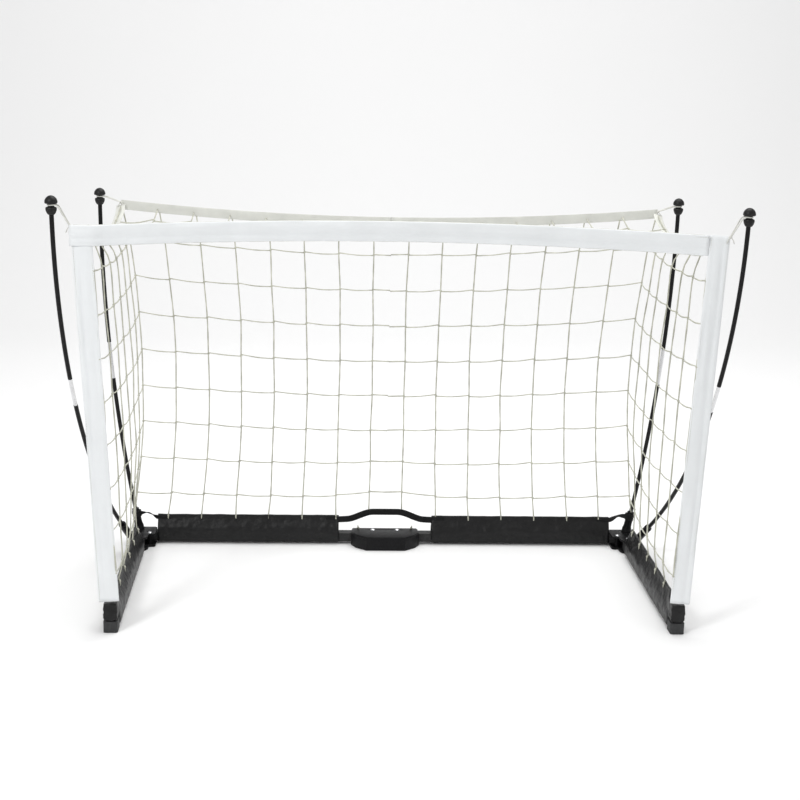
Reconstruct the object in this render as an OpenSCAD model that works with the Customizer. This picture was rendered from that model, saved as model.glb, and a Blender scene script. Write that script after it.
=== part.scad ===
// Pop up goal: a folding base of four tubes, four bent poles, and a net hung between the pole tips.
// Origin on the ground under the centre hub. X runs to the goal's side, -Y out of the mouth, Z up.
// Every paired part is drawn on the +X side and mirrored for the left.

/* [Base frame] */
// Width of a base tube
tube_w = 30; // [26:1:34]
// Height of a base tube
tube_h = 24; // [20:1:26]
// Wall thickness of the base tubes
tube_wall = 2; // [1.5:0.5:3]
// Height of a base tube's underside over the ground
tube_z = 7.5; // [7.5:0.1:9]
// Distance from the goal's middle to each rear tube's pivot
hub_pivot_x = 34; // [30:1:40]
// Distance from the goal's middle to each side tube
side_x = 678; // [640:1:700]
// Distance from the rear tube's line forward to the side tube's pivot
side_pivot_y = 66; // [60:1:72]
// Distance from the rear tube's line forward to the foot's face
foot_y = 690; // [640:1:700]

/* [Hubs] */
// Thickness of the hub's base plate
plate_t = 7; // [6:0.5:7]
// Thickness of the hub's cover plate
cover_t = 5.2; // [4:0.2:6]
// Radius of the pivot bolts
bolt_r = 3; // [2.5:0.5:4]
// Radial clearance of a bolt in its bore
bolt_gap = 0.06; // [0.02:0.01:0.09]

/* [Poles] */
// Radius of a fibreglass pole
pole_r = 5.5; // [4.5:0.5:6]
// Radius of the hole along a pole
pole_hole_r = 4; // [3.5:0.1:4.1]
// Depth of a pole in its socket
socket_depth = 72; // [68:1:76]
// Lean of the front socket from the vertical, in degrees
front_lean = 51; // [49:1:53]
// Bend radius of the front pole
front_bend_r = 1205; // [1180:5:1230]
// Lean of the rear socket from the vertical, in degrees
rear_lean = 10.4; // [9:0.1:11]
// Bend radius of the rear pole
rear_bend_r = 4800; // [4750:1:4850]

/* [Net] */
// Height of the crossbar's upper edge
bar_top_z = 954; // [940:1:960]
// Height of the crossbar and width of the posts
hem_w = 48; // [44:1:52]
// Half of the width over the posts at the top
post_top_x = 765; // [755:1:770]
// Distance forward to the posts' upper ends
post_top_y = 597; // [590:1:605]
// Thickness of a net string
string_w = 3; // [2:0.5:4]
// Height of a mesh of the net
mesh_h = 98; // [90:1:100]
// Height of the binding along the net's rear and side top edges
band_h = 25; // [20:1:28]
// Upper edge of the black tube sleeves, where the net starts
sleeve_top_z = 80; // [76:1:84]

/* [Hidden] */
$fn = 48;

// Heights that the plates and tubes share.
cover_z = tube_z + tube_h + 0.3;
cover_top_z = cover_z + cover_t;
tube_mid_z = tube_z + tube_h / 2;
bore_r = bolt_r + bolt_gap;

// A pole is [foot of the pole, heading of its bend, socket lean, lean at the tip, bend radius, ferrule's lean,
// ferrule's length]. The heading is the direction that the pole leans in, in degrees from +X.
straight = 85;
front_pole = [[702, -92, 50], -78.25, front_lean, 2, front_bend_r, 24.7, 79];
rear_pole = [[681.5, 0, 25], 0, rear_lean, 0.2, rear_bend_r, 5.5, 100];
pole_fit = 0.06;
seam = 0.02;

// Crossbar: an arc whose middle is pulled back towards the goal.
bar_end_x = 711;
bar_pull = 82;
bar_arc_r = (bar_end_x * bar_end_x + bar_pull * bar_pull) / (2 * bar_pull);
bar_arc_a = asin(bar_end_x / bar_arc_r);
bar_t = 8;

// Rear net: columns fan out from the pinched middle to the band's corners.
cells = 7.5;
waist_z = 450;
waist_x = 668;
rear_top_x = 720;
band_z = 950;
band_sag = 34;
net_t = 3;
handle_x = 130;
handle_net_z = 101;
sleeve_out_x = 632;

// Side net: it lies in a plane that leans outward.
side_tilt = 3.86;
side_rear_u = 16;
side_net_v = 858;
side_sag = 60;

function net_half(z) = waist_x + (z > waist_z ? (rear_top_x - waist_x) : 6)
  * pow((z - waist_z) / (z > waist_z ? band_z - waist_z : waist_z - sleeve_top_z), 2);
function band_top(x) = band_z - band_sag * (1 - pow(x / rear_top_x, 2));
function side_front(v) = foot_y - 18 - v * 0.0915;
function side_top(t) = side_net_v + 10 - side_sag * pow(4 * t * (1 - t), 0.7);

// The carry strap's middle line: low at the sleeves, rising from strap_turn[1] to strap_turn[0] over the hub.
strap_low_z = 69;
strap_high_z = 90.5;
strap_turn = [34, 112];
function strap_s(x) = min(1, max(0, (abs(x) - strap_turn[0]) / (strap_turn[1] - strap_turn[0])));
function strap_z(x) = strap_high_z - (strap_high_z - strap_low_z) * pow(strap_s(x), 2) * (3 - 2 * strap_s(x));

// Mirrors the children to the left for side = -1.
module on_side(side) {
  if (side > 0) children();
  else mirror([1, 0, 0]) children();
}

// A rectangle from lo to hi with rounded corners.
module round_rect(lo, hi, r) {
  translate([lo[0] + r, lo[1]]) square([hi[0] - lo[0] - 2 * r, hi[1] - lo[1]]);
  translate([lo[0], lo[1] + r]) square([hi[0] - lo[0], hi[1] - lo[1] - 2 * r]);
  for (x = [lo[0] + r, hi[0] - r], y = [lo[1] + r, hi[1] - r]) translate([x, y]) circle(r);
}

// A strip of the given width that follows a list of points, its ends square across X or across Y.
module strip(points, w, across) {
  shift = across == "x" ? [-w / 2, 0] : [0, w / 2];
  polygon(concat([for (p = points) p - shift], [for (i = [len(points) - 1:-1:0]) points[i] + shift]));
}

// A base tube along +X: its near end is rounded about a pivot at the origin, its far end is square.
module base_tube(len) {
  difference() {
    union() {
      translate([0, 0, tube_z]) cylinder(h = tube_h, r = tube_w / 2);
      translate([0, -tube_w / 2, tube_z]) cube([len, tube_w, tube_h]);
    }
    translate([tube_w / 2, tube_wall - tube_w / 2, tube_z + tube_wall])
      cube([len, tube_w - 2 * tube_wall, tube_h - 2 * tube_wall]);
    translate([0, 0, tube_z - 1]) cylinder(h = tube_h + 2, r = bore_r);
  }
}

// Centre hub -------------------------------------------------------------

hub_back_y = 18;
hub_front_y = -72;
hub_wall = 4;
function hub_outline(inset) = [
  [-92 + inset, hub_back_y], [92 - inset, hub_back_y], [95 - inset, -22],
  [83 - 0.8 * inset, -46 + 0.6 * inset], [54 - 0.4 * inset, hub_front_y + inset],
  [-54 + 0.4 * inset, hub_front_y + inset], [-83 + 0.8 * inset, -46 + 0.6 * inset], [-95 + inset, -22]
];

nut_h = 4;
nut_af = 10;
head_r = 6.2;
head_h = 3.6;
cover_step = 1.6;

module hub_base() {
  color("#202225") difference() {
    union() {
      linear_extrude(plate_t) polygon(hub_outline(0));
      linear_extrude(cover_z) difference() {
        polygon(hub_outline(0));
        polygon(hub_outline(hub_wall));
        translate([-100, -20]) square([200, 60]);
      }
    }
    for (x = [-hub_pivot_x, hub_pivot_x]) {
      translate([x, 0, -1]) cylinder(h = plate_t + 2, r = bore_r);
      translate([x, 0, -1]) cylinder(h = nut_h + 1.8, r = nut_af / 2 / cos(30) + 0.3, $fn = 6);
    }
  }
}

module hub_cover() {
  color("#1b1c1e") difference() {
    union() {
      translate([0, 0, cover_z]) linear_extrude(cover_t - cover_step) polygon(hub_outline(0));
      translate([0, 0, cover_z]) linear_extrude(cover_t) polygon(hub_outline(3));
    }
    for (x = [-hub_pivot_x, hub_pivot_x])
      translate([x, 0, cover_z - 1]) cylinder(h = cover_t + 2, r = bore_r);
  }
}

// A domed bolt that stands on the plane z = top and reaches down to z = tip.
module dome_bolt(top, tip) {
  translate([0, 0, tip]) cylinder(h = top - tip, r = bolt_r);
  translate([0, 0, top]) intersection() {
    cylinder(h = head_h, r = head_r);
    translate([0, 0, head_h - 8]) sphere(r = 8);
  }
}

module hub_bolts() {
  color("#b8bcc2")
    for (x = [-hub_pivot_x, hub_pivot_x]) translate([x, 0, 0]) dome_bolt(cover_top_z, 0.8);
}

module hub_nuts() {
  color("#9a9ea4") for (x = [-hub_pivot_x, hub_pivot_x]) translate([x, 0, 0.6]) difference() {
    cylinder(h = nut_h, r = nut_af / 2 / cos(30), $fn = 6);
    translate([0, 0, -1]) cylinder(h = nut_h + 2, r = bore_r);
  }
}

strap_w = 18;
strap_t = 3;
strap_steps = 14;
module carry_strap() {
  half = handle_x - 0.3;
  color("#17181a") translate([0, strap_t / 2, 0]) rotate([90, 0, 0]) linear_extrude(strap_t)
    strip([for (i = [-strap_steps:strap_steps]) let (x = half * i / strap_steps) [x, strap_z(x)]], strap_w, "y");
}

// Rear half --------------------------------------------------------------

rear_bar_end = 660;
boot_gap = 0.4;
bar_screw_x = 646;
spacer = [652, -38];
corner_lo = [636, -50];
corner_hi = [702, 18];
corner_r = 24;

module rear_bar(side) {
  color("#26282b") on_side(side) difference() {
    translate([hub_pivot_x, 0, 0]) base_tube(rear_bar_end - hub_pivot_x);
    translate([bar_screw_x, 0, 0]) cylinder(h = tube_mid_z, r = bore_r);
  }
}

// Plan of a corner hub's plates: round about the side tube's pivot.
module corner_plan() {
  round_rect(corner_lo, corner_hi, 8);
  translate([side_x, -side_pivot_y]) circle(corner_r);
  translate([side_x - corner_r, -side_pivot_y]) square([2 * corner_r, side_pivot_y - 30]);
}

// Places children at a pole's foot with +Z along its socket.
module at_pole_foot(pole) {
  translate(pole[0]) rotate([0, 0, pole[1]]) rotate([0, pole[2], 0]) children();
}

module corner_base(side) {
  color("#202225") on_side(side) difference() {
    union() {
      linear_extrude(plate_t) corner_plan();
      linear_extrude(cover_z) intersection() {
        corner_plan();
        union() {
          translate([corner_hi[0] - 4, -52]) square([4, 80]);
          translate([rear_bar_end + 2, corner_hi[1] - 3]) square([60, 3]);
        }
      }
      translate([spacer[0], spacer[1], 0]) cylinder(h = cover_z, r = 6);
    }
    translate([side_x, -side_pivot_y, 1]) cylinder(h = plate_t, r = bore_r);
    translate([spacer[0], spacer[1], 1]) cylinder(h = cover_z, r = bore_r);
    translate([bar_screw_x, 0, -1]) cylinder(h = plate_t + 2, r = bore_r);
    translate([bar_screw_x, 0, -1]) cylinder(h = 5, r = head_r + 0.3);
    at_pole_foot(rear_pole) translate([0, 0, -20]) cylinder(h = 60, r = 13 + boot_gap);
  }
}

module corner_cover(side) {
  color("#1b1c1e") on_side(side) difference() {
    translate([0, 0, cover_z]) linear_extrude(cover_t) corner_plan();
    for (p = [[side_x, -side_pivot_y], spacer])
      translate([p[0], p[1], cover_z - 1]) cylinder(h = cover_t + 2, r = bore_r);
    at_pole_foot(rear_pole) translate([0, 0, -20]) cylinder(h = 60, r = 13 + boot_gap);
  }
}

module corner_bolts(side) {
  color("#b8bcc2") on_side(side) {
    translate([side_x, -side_pivot_y, 0]) dome_bolt(cover_top_z, 1.5);
    translate([spacer[0], spacer[1], 0]) dome_bolt(cover_top_z, 1.5);
    translate([bar_screw_x, 0, 0]) {
      translate([0, 0, 0.6]) cylinder(h = 3, r = head_r);
      translate([0, 0, 3]) cylinder(h = 9, r = bolt_r);
    }
  }
}

module rear_socket(side) {
  color("#1d1f21") on_side(side) difference() {
    at_pole_foot(rear_pole) rotate_extrude()
      polygon([[0, -25], [13, -25], [13, 22], [11, 30], [9.5, socket_depth], [0, socket_depth]]);
    translate([600, -50, plate_t - 40]) cube([200, 100, 40]);
    at_pole_foot(rear_pole) cylinder(h = socket_depth + 1, r = pole_r + pole_fit);
  }
}

// Section of a tube sleeve, in the plane across the tube, with the net's hem standing on it.
hem_t = 4;
module sleeve_section() {
  difference() {
    union() {
      round_rect([-tube_w / 2 - 3, tube_z - 3], [tube_w / 2 + 3, tube_z + tube_h + 3], 8);
      translate([-hem_t / 2, tube_mid_z]) square([hem_t, sleeve_top_z - tube_mid_z]);
    }
    translate([-tube_w / 2 - 0.4, tube_z - 0.4]) square([tube_w + 0.8, tube_h + 0.8]);
  }
}

module rear_sleeve(side) {
  color("#141517") on_side(side) translate([handle_x, 0, 0])
    rotate([90, 0, 90]) linear_extrude(sleeve_out_x - handle_x) sleeve_section();
}

// The half net: strips for the columns and rows, in the plane of the rear tube.
module rear_net(side) {
  color("#d9d8cf") on_side(side) translate([0, net_t / 2, 0]) rotate([90, 0, 0]) linear_extrude(net_t) {
    for (i = [0:7]) {
      low = i == 0 ? handle_net_z : sleeve_top_z + 0.5;
      top = band_top((i + 0.5) / cells * rear_top_x) - band_h - 1.5;
      strip([for (k = [0:6])
        let (z = low + (top - low) * k / 6) [(i + 0.5) / cells * net_half(z), z]], string_w, "x");
    }
    for (j = [0:8]) {
      z = 135 + j * mesh_h - (j == 8 ? 30 : 0);
      translate([0.5, z - string_w / 2]) square([net_half(z) + 1, string_w]);
    }
  }
}

module rear_band(side) {
  color("#e6e6e0") on_side(side) translate([0, 1, 0]) rotate([90, 0, 0]) linear_extrude(2)
    strip([for (k = [0:8]) let (x = 0.5 + (rear_top_x - 0.5) * k / 8) [x, band_top(x) - band_h / 2]], band_h, "y");
}

module base_strap(side) {
  color("#17181a") on_side(side) difference() {
    union() {
      at_pole_foot(rear_pole) translate([0, 0, 56]) cylinder(h = 14, r = 13);
      translate([0, -2.4, 0]) rotate([90, 0, 0]) linear_extrude(2)
        strip([[560, 72], [628, 74], [684, 82]], 12, "y");
    }
    at_pole_foot(rear_pole) translate([0, 0, 44]) cylinder(h = 36, r = 10.9);
  }
}

// Side tube and what rides on it ------------------------------------------

foot_len = 38;
foot_w = 34;
foot_h = 27;
spigot_gap = 0.3;
side_tube_end = foot_y - foot_len;

// Turns a part drawn along +X from the pivot to run forward from the side tube's pivot.
module along_side() {
  translate([side_x, -side_pivot_y, 0]) rotate([0, 0, -90]) children();
}

module side_bar(side) {
  color("#26282b") on_side(side) along_side() base_tube(side_tube_end - side_pivot_y);
}

module foot_cap(side) {
  color("#6d6f72") on_side(side) along_side() translate([side_tube_end - side_pivot_y, 0, 0]) {
    linear_extrude(foot_h) {
      round_rect([6, -foot_w / 2], [foot_len, foot_w / 2], 6);
      translate([0, -foot_w / 2]) square([20, foot_w]);
    }
    translate([-24, tube_wall + spigot_gap - tube_w / 2, tube_z + tube_wall + spigot_gap])
      cube([30, tube_w - 2 * (tube_wall + spigot_gap), foot_h - tube_z - tube_wall - 2 * spigot_gap]);
  }
}

side_sleeve_y = 118;
sleeve_box_w = 30;
sleeve_box_top = 72;
module side_sleeve(side) {
  len = side_tube_end - side_sleeve_y - 1;
  color("#141517") on_side(side) translate([side_x, -side_sleeve_y, 0]) rotate([90, 0, 0]) {
    linear_extrude(len) sleeve_section();
    // The closed end that sits on the foot, and the hem's tab that holds it.
    translate([0, 0, len + 1.3]) linear_extrude(foot_len - 2.3)
      round_rect([-sleeve_box_w / 2, foot_h + 0.3], [sleeve_box_w / 2, sleeve_box_top], 6);
    translate([-hem_t / 2, tube_z + tube_h + 3, len - 1]) cube([hem_t, sleeve_box_top - tube_z - tube_h - 5, 6]);
  }
}

// Bracket of the front socket on the side tube's outer face: its low corner and its size.
bracket_at = [side_x + tube_w / 2, -112, 9];
bracket_size = [8, 18, 50];
socket_r = 10;
module front_socket(side) {
  color("#1d1f21") on_side(side) difference() {
    union() {
      at_pole_foot(front_pole) translate([0, 0, -8]) cylinder(h = socket_depth + 8, r = socket_r);
      translate(bracket_at) cube(bracket_size);
    }
    at_pole_foot(front_pole) cylinder(h = socket_depth + 1, r = pole_r + pole_fit);
  }
}

// Places a drawing made in the side net's plane: its X runs forward, its Y up along the net.
module in_side_plane(t) {
  translate([side_x, 0, sleeve_top_z + 0.6]) rotate([0, side_tilt, 0])
    rotate([90, 0, -90]) translate([0, 0, -t / 2]) linear_extrude(t) children();
}

side_columns = 6;
side_steps = 12;
side_span = side_front(side_net_v) - side_rear_u - 2;
function side_edge(k, drop) = [side_rear_u + side_span * k / side_steps, side_top(k / side_steps) - drop];
module side_net(side) {
  color("#d9d8cf") on_side(side) in_side_plane(net_t) intersection() {
    union() {
      for (i = [0:side_columns]) strip([for (v = [0, side_net_v]) let (t = i / side_columns)
        [side_rear_u + 2 + t * (side_front(v) - side_rear_u - 6), v]], string_w, "x");
      for (j = [0:8]) translate([side_rear_u, 52 + j * mesh_h - (j == 8 ? 30 : 0)]) square([700, string_w]);
    }
    polygon([[side_rear_u, 0], [side_front(0) - 1, 0],
      for (k = [side_steps:-1:0]) side_edge(k, band_h + 0.8)]);
  }
}

module side_band(side) {
  color("#e6e6e0") on_side(side) in_side_plane(2)
    strip([for (k = [0:side_steps]) side_edge(k, band_h / 2)], band_h, "y");
}

post_low = [705, -foot_y + 10, sleeve_box_top + 2];
post_t = 6;
module front_post(side) {
  rise = bar_top_z - post_low[2];
  color("#f2f3f4") on_side(side)
    multmatrix([[1, 0, (post_top_x - post_low[0]) / rise, 0],
      [0, 1, (-post_top_y - post_low[1]) / rise, 0], [0, 0, 1, 0]])
    translate([post_low[0] - hem_w, post_low[1] - post_t / 2, post_low[2]])
      translate([-(post_top_x - post_low[0]) / rise * post_low[2],
        -(-post_top_y - post_low[1]) / rise * post_low[2], 0]) cube([hem_w, post_t, rise]);
}

// Crossbar and roof --------------------------------------------------------

module crossbar() {
  color("#f2f3f4") translate([0, -post_top_y + bar_pull - bar_arc_r, bar_top_z - hem_w])
    rotate([0, 0, 90 - bar_arc_a]) rotate_extrude(angle = 2 * bar_arc_a, $fn = 200)
      translate([bar_arc_r - bar_t / 2, 0]) square([bar_t, hem_w]);
}

roof_x = 690;
roof_z = 932;
roof_back_y = 14;
roof_front_y = 500;
module roof_net() {
  color("#d9d8cf") translate([0, 0, roof_z]) linear_extrude(net_t) {
    for (i = [-7.5:7.5]) translate([i / cells * roof_x - string_w / 2, -roof_front_y])
      square([string_w, roof_front_y - roof_back_y]);
    for (j = [0:5]) translate([-roof_x - 1, -roof_back_y - string_w - j * 96]) square([2 * roof_x + 2, string_w]);
  }
}

// Poles --------------------------------------------------------------------

// A bent length of a pole between two leans, with an outer and an inner radius.
module pole_bend(pole, from, to, r_out, r_in) {
  translate(pole[0]) rotate([0, 0, pole[1]]) rotate([90, 0, 0])
    translate([straight * sin(pole[2]) - pole[4] * cos(pole[2]), straight * cos(pole[2]) + pole[4] * sin(pole[2]), 0])
    rotate([0, 0, -from]) rotate_extrude(angle = from - to, $fn = 360) translate([pole[4], 0]) difference() {
      circle(r_out);
      if (r_in > 0) circle(r_in);
    }
}

// Point of a pole's centreline, in [along its heading, up], where it leans by a.
function pole_point(pole, a) = [
  straight * sin(pole[2]) + pole[4] * (cos(a) - cos(pole[2])),
  straight * cos(pole[2]) + pole[4] * (sin(pole[2]) - sin(a))
];

// Places children at a pole's tip, with +Z along its end.
module at_pole_tip(pole) {
  tip = pole_point(pole, pole[3]);
  translate(pole[0]) rotate([0, 0, pole[1]]) translate([tip[0], 0, tip[1]]) rotate([0, pole[3], 0]) children();
}

// Half of a ferrule, or any length along a pole's bend, as an angle in degrees.
function bend_angle(pole, len) = len / pole[4] * 180 / PI;
function ferrule_half(pole) = bend_angle(pole, pole[6] / 2);

module pole_lower(pole, side) {
  color("#17181a") on_side(side) {
    at_pole_foot(pole) translate([0, 0, 0.5]) difference() {
      cylinder(h = straight - 0.5 - seam, r = pole_r);
      translate([0, 0, -1]) cylinder(h = straight + 2, r = pole_hole_r);
    }
    pole_bend(pole, pole[2], pole[5] + ferrule_half(pole) + bend_angle(pole, seam), pole_r, pole_hole_r);
  }
}

module pole_upper(pole, side) {
  color("#17181a") on_side(side)
    pole_bend(pole, pole[5] - ferrule_half(pole) - bend_angle(pole, seam), pole[3], pole_r, pole_hole_r);
}

// Steel joint of a pole: a tube between the two sections, and the spigot that runs through it into both.
ferrule_r = 4.9;
spigot_fit = 0.1;
spigot_reach = 25;
module ferrule(pole, side) {
  spigot = ferrule_half(pole) + bend_angle(pole, spigot_reach);
  color("#d8d9da") on_side(side) {
    pole_bend(pole, pole[5] + ferrule_half(pole), pole[5] - ferrule_half(pole), ferrule_r, pole_hole_r);
    pole_bend(pole, pole[5] + spigot, pole[5] - spigot, pole_hole_r - spigot_fit, 0);
  }
}

// Cap on a pole's tip: a skirt, a groove for the elastic loop and a domed head.
groove_r = 6.5;
head_cap_r = 15;
cap_fit = 0.3;
module pole_cap(pole, side) {
  color("#141517") on_side(side) at_pole_tip(pole) difference() {
    rotate_extrude() {
      polygon([[0, -22], [8, -22], [12.5, -8], [12.5, -5], [groove_r, -3], [groove_r, 3],
        [head_cap_r, 4], [head_cap_r, 9], [12, 17], [6, 21], [0, 22]]);
    }
    translate([0, 0, -23]) cylinder(h = 23.1, r = pole_r + cap_fit);
  }
}

// Elastic loop: a ring in the cap's groove and two strands down to the net's corner.
// reach and drop go from the groove to the corner, along the heading and down.
elastic_r = 1.6;
ring_r = groove_r + elastic_r + 0.3;
module loop(pole, side, reach, drop, heading) {
  clear = 18;
  color("#eeeeea") on_side(side) at_pole_tip(pole) rotate([0, 0, heading]) {
    rotate_extrude() translate([ring_r, 0]) circle(elastic_r);
    for (y = [-1, 1]) translate([clear, y * 5, 0]) rotate([0, 90 + atan(drop / (reach - clear)), 0])
      cylinder(h = norm([drop, reach - clear]), r = elastic_r);
  }
}

hub_base();
hub_cover();
hub_bolts();
hub_nuts();
carry_strap();
rear_bar(-1);  // rear_bar_left
rear_bar(1);  // rear_bar_right
corner_base(-1);  // corner_base_left
corner_base(1);  // corner_base_right
corner_cover(-1);  // corner_cover_left
corner_cover(1);  // corner_cover_right
corner_bolts(-1);  // corner_bolts_left
corner_bolts(1);  // corner_bolts_right
rear_socket(-1);  // rear_socket_left
rear_socket(1);  // rear_socket_right
rear_sleeve(-1);  // rear_sleeve_left
rear_sleeve(1);  // rear_sleeve_right
rear_net(-1);  // rear_net_left
rear_net(1);  // rear_net_right
rear_band(-1);  // rear_band_left
rear_band(1);  // rear_band_right
base_strap(-1);  // base_strap_left
base_strap(1);  // base_strap_right
side_bar(-1);  // side_bar_left
side_bar(1);  // side_bar_right
foot_cap(-1);  // foot_cap_left
foot_cap(1);  // foot_cap_right
side_sleeve(-1);  // side_sleeve_left
side_sleeve(1);  // side_sleeve_right
front_socket(-1);  // front_socket_left
front_socket(1);  // front_socket_right
side_net(-1);  // side_net_left
side_net(1);  // side_net_right
side_band(-1);  // side_band_left
side_band(1);  // side_band_right
front_post(-1);  // front_post_left
front_post(1);  // front_post_right
crossbar();
roof_net();
pole_lower(front_pole, -1);  // front_pole_lower_left
pole_lower(front_pole, 1);  // front_pole_lower_right
ferrule(front_pole, -1);  // front_ferrule_left
ferrule(front_pole, 1);  // front_ferrule_right
pole_upper(front_pole, -1);  // front_pole_upper_left
pole_upper(front_pole, 1);  // front_pole_upper_right
pole_cap(front_pole, -1);  // front_cap_left
pole_cap(front_pole, 1);  // front_cap_right
pole_lower(rear_pole, -1);  // rear_pole_lower_left
pole_lower(rear_pole, 1);  // rear_pole_lower_right
ferrule(rear_pole, -1);  // rear_ferrule_left
ferrule(rear_pole, 1);  // rear_ferrule_right
pole_upper(rear_pole, -1);  // rear_pole_upper_left
pole_upper(rear_pole, 1);  // rear_pole_upper_right
pole_cap(rear_pole, -1);  // rear_cap_left
pole_cap(rear_pole, 1);  // rear_cap_right
loop(front_pole, -1, 38, 40, 265);  // front_loop_left
loop(front_pole, 1, 38, 40, 265);  // front_loop_right
loop(rear_pole, -1, 50, 12, 180);  // rear_loop_left
loop(rear_pole, 1, 50, 12, 180);  // rear_loop_right
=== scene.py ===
import math
import random

import bmesh
import bpy
from mathutils import Matrix, Vector, noise


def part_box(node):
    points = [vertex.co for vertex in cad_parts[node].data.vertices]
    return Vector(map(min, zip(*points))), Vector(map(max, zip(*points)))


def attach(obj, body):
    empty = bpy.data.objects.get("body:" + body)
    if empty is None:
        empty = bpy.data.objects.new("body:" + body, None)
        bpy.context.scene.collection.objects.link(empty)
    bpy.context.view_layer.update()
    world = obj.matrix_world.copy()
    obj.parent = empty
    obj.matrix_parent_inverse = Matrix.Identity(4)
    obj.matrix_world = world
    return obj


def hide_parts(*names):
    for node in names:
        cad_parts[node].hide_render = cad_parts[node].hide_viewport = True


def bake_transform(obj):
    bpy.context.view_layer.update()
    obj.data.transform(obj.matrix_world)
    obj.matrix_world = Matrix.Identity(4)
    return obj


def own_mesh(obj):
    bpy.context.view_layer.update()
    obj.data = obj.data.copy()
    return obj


# Looks of the pop up goal: nets, hems, sleeves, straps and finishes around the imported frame.
# Everything is in metres, and MM turns millimetres into metres. The mouth faces -Y, and +X is the right side.

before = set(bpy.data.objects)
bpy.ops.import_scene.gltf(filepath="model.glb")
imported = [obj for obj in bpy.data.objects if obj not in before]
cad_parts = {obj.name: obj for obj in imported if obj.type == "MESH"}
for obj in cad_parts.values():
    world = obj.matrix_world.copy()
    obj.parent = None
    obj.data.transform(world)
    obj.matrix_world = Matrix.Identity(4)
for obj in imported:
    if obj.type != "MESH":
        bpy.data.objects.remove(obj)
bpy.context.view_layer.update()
rng = random.Random(7)
MM = 0.001
SIDES = {"left": -1, "right": 1}


def corners_of(node):
    """A node's lowest and highest corners."""
    low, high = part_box(node)
    return Vector(low), Vector(high)


# Places taken from the frame, all on the right side ---------------------------
band_lo, band_hi = corners_of("rear_band_right")
post_lo, post_hi = corners_of("front_post_right")
bar_lo, bar_hi = corners_of("crossbar")
rear_sleeve_lo, rear_sleeve_hi = corners_of("rear_sleeve_right")
side_sleeve_hi = corners_of("side_sleeve_right")[1]
side_bar_lo, side_bar_hi = corners_of("side_bar_right")
foot_lo, foot_hi = corners_of("foot_cap_right")
socket_hi = corners_of("rear_socket_right")[1]
cover_hi = corners_of("hub_cover")[1]

band_x = band_hi.x                           # the net's rear corner
band_z = band_hi.z
band_h = 25 * MM
band_sag = (band_hi.z - band_lo.z) - band_h
hem_w = bar_hi.z - bar_lo.z                  # flat width of the posts and the crossbar
hem_top = rear_sleeve_hi.z                   # top of the black sleeves
side_box_top = post_lo.z - 3 * MM            # top of the side sleeve's closed front end
handle_x = rear_sleeve_lo.x                  # inner end of the rear sleeve, at the carry strap
sleeve_out_x = rear_sleeve_hi.x
side_x = (side_bar_lo.x + side_bar_hi.x) / 2
mouth_y = post_hi.y - 3 * MM
foot_front_y = foot_lo.y
bar_end_x = bar_hi.x
bar_back_y = bar_hi.y - 4 * MM

# Counts and sizes --------------------------------------------------------------
CELLS = 7.5                                  # rear meshes from the middle to a corner
COLUMNS = 8                                  # columns of knots on each half of the rear panel
ROWS = 8                                     # rows of knots between the hem and the top band
SIDE_CELLS = 6                               # meshes along a side panel
ROOF_CELLS = 6                               # meshes from the rear band to the crossbar
ROW_0 = 132 * MM                             # height of the lowest row
ROW_H = 97.6 * MM
WAIST_Z, WAIST_X = 0.45, 0.668               # where the rear panel is narrowest, and half its width there
FOOT_FLARE = 0.028                           # how much wider each half is at the hem
HANDLE_LIFT = (22 * MM, 9 * MM)              # the two lowest rows rise over the carry strap
STRING_R = 1.8 * MM
KNOT_R = 3.3 * MM
SHAKE = 1.6 * MM                             # how far a knot may stand from its even place
TUCK = 3 * MM                                # how far strings reach down into a sleeve's top
LAP = 2 * MM                                 # how far strings reach up behind a band
SIDE_SAG = 46 * MM                           # dip of a side panel's top edge
BAR_RISE = 11 * MM                           # the crossbar's middle above its ends
TAPE_THICK = 2.6 * MM
STITCH, STITCH_GAP, THREAD_R = 3.2 * MM, 2.6 * MM, 0.38 * MM
STRAP_HIGH, STRAP_LOW = 91 * MM, 69 * MM     # the carry strap over the hub, and beside it
STRAP_FLAT, STRAP_SLOPE = 0.034, 0.078       # half its flat top, and the length of its slope
STRAP_W, STRAP_THICK = 18 * MM, 2.8 * MM
SIDE_SLEEVE_HALF = 17.6 * MM                 # half widths of the sleeves round their tubes
REAR_SLEEVE_HALF = 18.2 * MM
SLEEVE_LOW = 3 * MM                          # height of a sleeve's underside
HEM_HALF = 2.2 * MM                          # half the thickness of a sleeve's top
CLOTH = 0.8 * MM
UP = Vector((0, 0, 1))


# Small maths -------------------------------------------------------------------
def mix(a, b, t):
    return a + (b - a) * t


def smooth(t):
    t = max(0.0, min(1.0, t))
    return t * t * (3 - 2 * t)


def arch(t, power=1.0):
    """0 at both ends of 0 to 1, and 1 in the middle."""
    return (4 * t * (1 - t)) ** power


def wrinkle(p, size, seed=0.0):
    """Smooth noise from -1 to 1 at point p, for features of the given size."""
    return noise.noise(Vector((p.x / size + seed, p.y / size - seed, p.z / size + 2 * seed)))


def length_of(path):
    return sum((b - a).length for a, b in zip(path, path[1:]))


def spline(points, step):
    """A Catmull-Rom curve through the points, with one point about every step."""
    pts = [Vector(p) for p in points]
    ends = [2 * pts[0] - pts[1], *pts, 2 * pts[-1] - pts[-2]]
    out = []
    for a, b, c, d in zip(ends, ends[1:], ends[2:], ends[3:]):
        n = max(1, int((c - b).length / step))
        for k in range(n):
            t = k / n
            out.append(0.5 * (2 * b + (c - a) * t + (2 * a - 5 * b + 4 * c - d) * t * t
                              + (3 * b - a - 3 * c + d) * t ** 3))
    out.append(pts[-1])
    return out


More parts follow.
